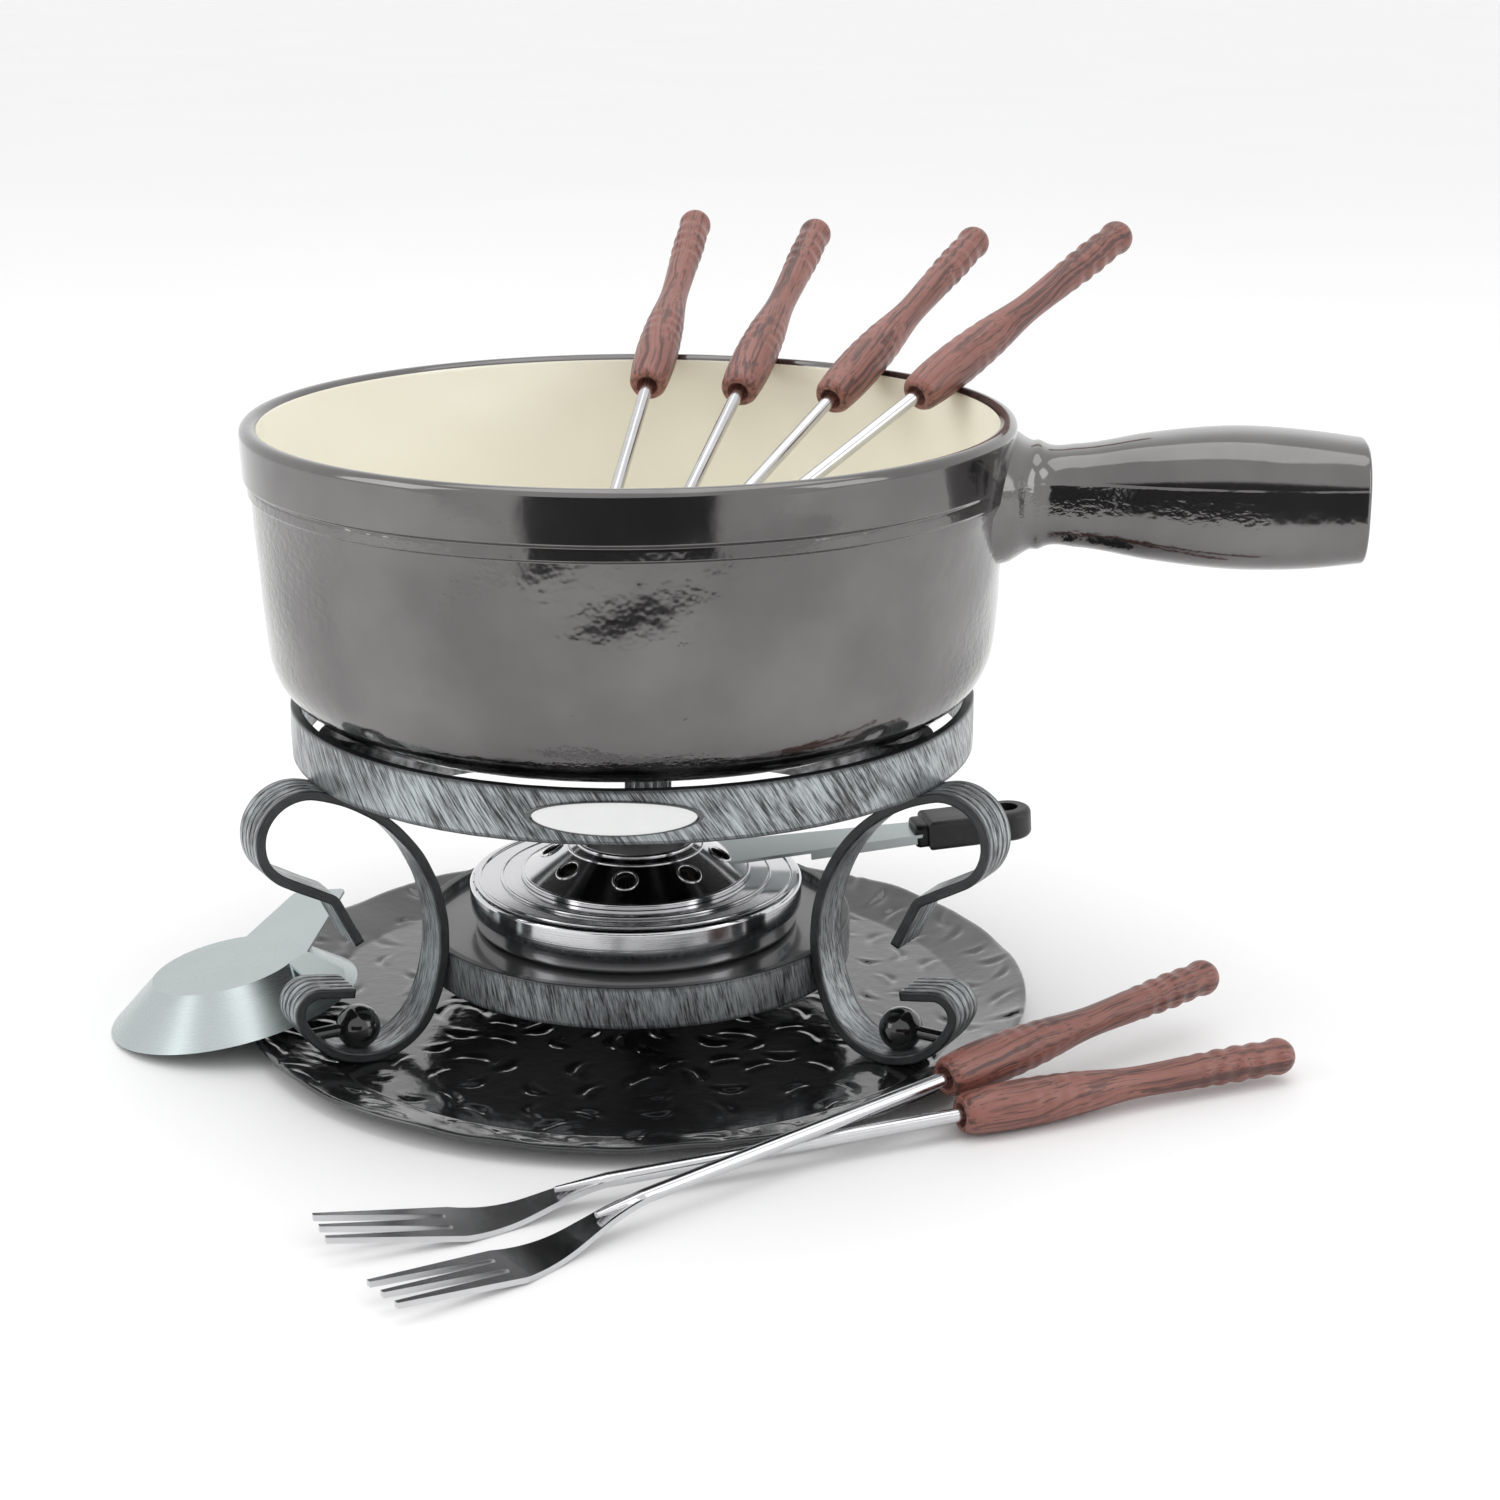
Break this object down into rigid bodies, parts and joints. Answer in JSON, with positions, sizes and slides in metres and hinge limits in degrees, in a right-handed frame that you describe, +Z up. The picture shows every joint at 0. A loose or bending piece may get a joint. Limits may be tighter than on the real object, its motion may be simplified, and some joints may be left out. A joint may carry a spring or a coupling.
{
  "type": "fondue pot set",
  "caption": "Enamelled cast-iron fondue pot with side handle on a scrolled iron stand, with spirit burner, hammered tray, snuffer and long wooden-handled forks.",
  "frame": {"origin": "centre of the tray's underside, on the table", "axes": "+Z up; +Y towards the stand's back leg; the pot's handle points to +X and a little to -Y, the front with the plain badge faces -Y"},
  "size_m": [0.362, 0.3731, 0.2238],
  "materials": {
    "strip_iron": "dark strip iron brushed silver on its faces",
    "dark_plate": "smooth dark grey lacquer",
    "black_ball": "gloss black",
    "black_iron": "satin black",
    "badge_enamel": "plain white enamel",
    "pot_enamel": "gloss dark grey enamel outside, cream enamel inside",
    "tray_enamel": "gloss black enamel over a hammered floor",
    "burner_steel": "polished stainless steel",
    "pad": "pale absorbent felt",
    "grip_plastic": "black heat-proof plastic",
    "fork_wood": "reddish brown hardwood with dark streaks",
    "fork_steel": "polished stainless steel",
    "snuffer_steel": "satin stainless sheet"
  },
  "bodies": {
    "tray": {"tray": "tray_enamel"},
    "stand": {"upper_ring": "strip_iron", "lower_ring": "strip_iron", "burner_plate": "dark_plate", "leg_1": "strip_iron", "leg_2": "strip_iron", "leg_3": "strip_iron", "ball_1": "black_ball", "ball_2": "black_ball", "ball_3": "black_ball", "pot_support_1": "black_iron", "pot_support_2": "black_iron", "pot_support_3": "black_iron", "badge": "badge_enamel"},
    "pot": {"pot": "pot_enamel"},
    "burner": {"burner_base": "burner_steel", "fuel_cup": "burner_steel", "fuel_pad": "pad", "burner_gauze": "burner_steel", "burner_cover": "burner_steel"},
    "regulator": {"regulator": "burner_steel", "regulator_lever": "burner_steel", "regulator_grip": "grip_plastic"},
    "snuffer": {"snuffer_cap": "snuffer_steel", "snuffer_lever": "snuffer_steel"},
    "fork_1": {"fork_handle_1": "fork_wood", "fork_shaft_1": "fork_steel"},
    "fork_2": {"fork_handle_2": "fork_wood", "fork_shaft_2": "fork_steel"},
    "fork_3": {"fork_handle_3": "fork_wood", "fork_shaft_3": "fork_steel"},
    "fork_4": {"fork_handle_4": "fork_wood", "fork_shaft_4": "fork_steel"},
    "fork_5": {"fork_handle_5": "fork_wood", "fork_shaft_5": "fork_steel"},
    "fork_6": {"fork_handle_6": "fork_wood", "fork_shaft_6": "fork_steel"}
  },
  "joints": [
    {"name": "stand_lift", "type": "slide", "parent": "tray", "child": "stand", "axis": [0, 0, 1], "range_m": [0, 0.08]},
    {"name": "pot_lift", "type": "slide", "parent": "stand", "child": "pot", "axis": [0, 0, 1], "range_m": [0, 0.12]},
    {"name": "burner_draw", "type": "slide", "parent": "stand", "child": "burner", "axis": [0.8365, 0.483, 0.2588], "range_m": [0, 0.12]},
    {"name": "regulator_turn", "type": "hinge", "parent": "burner", "child": "regulator", "pos_m": [0, 0, 0.045], "axis": [0, 0, 1], "range_deg": [0, 22.5]},
    {"name": "snuffer_lift", "type": "slide", "parent": "tray", "child": "snuffer", "axis": [-0.5, 0, 0.866], "range_m": [0, 0.05]},
    {"name": "fork_1_lift", "type": "slide", "parent": "pot", "child": "fork_1", "axis": [0, 0, 1], "range_m": [0, 0.1]},
    {"name": "fork_2_lift", "type": "slide", "parent": "fork_1", "child": "fork_2", "axis": [0, 0, 1], "range_m": [0, 0.1]},
    {"name": "fork_3_lift", "type": "slide", "parent": "fork_2", "child": "fork_3", "axis": [0, 0, 1], "range_m": [0, 0.1]},
    {"name": "fork_4_lift", "type": "slide", "parent": "fork_3", "child": "fork_4", "axis": [0, 0, 1], "range_m": [0, 0.1]},
    {"name": "fork_5_lift", "type": "slide", "parent": "tray", "child": "fork_5", "axis": [0, 0, 1], "range_m": [0, 0.08]},
    {"name": "fork_6_lift", "type": "slide", "parent": "fork_5", "child": "fork_6", "axis": [0, 0, 1], "range_m": [0, 0.08]}
  ]
}
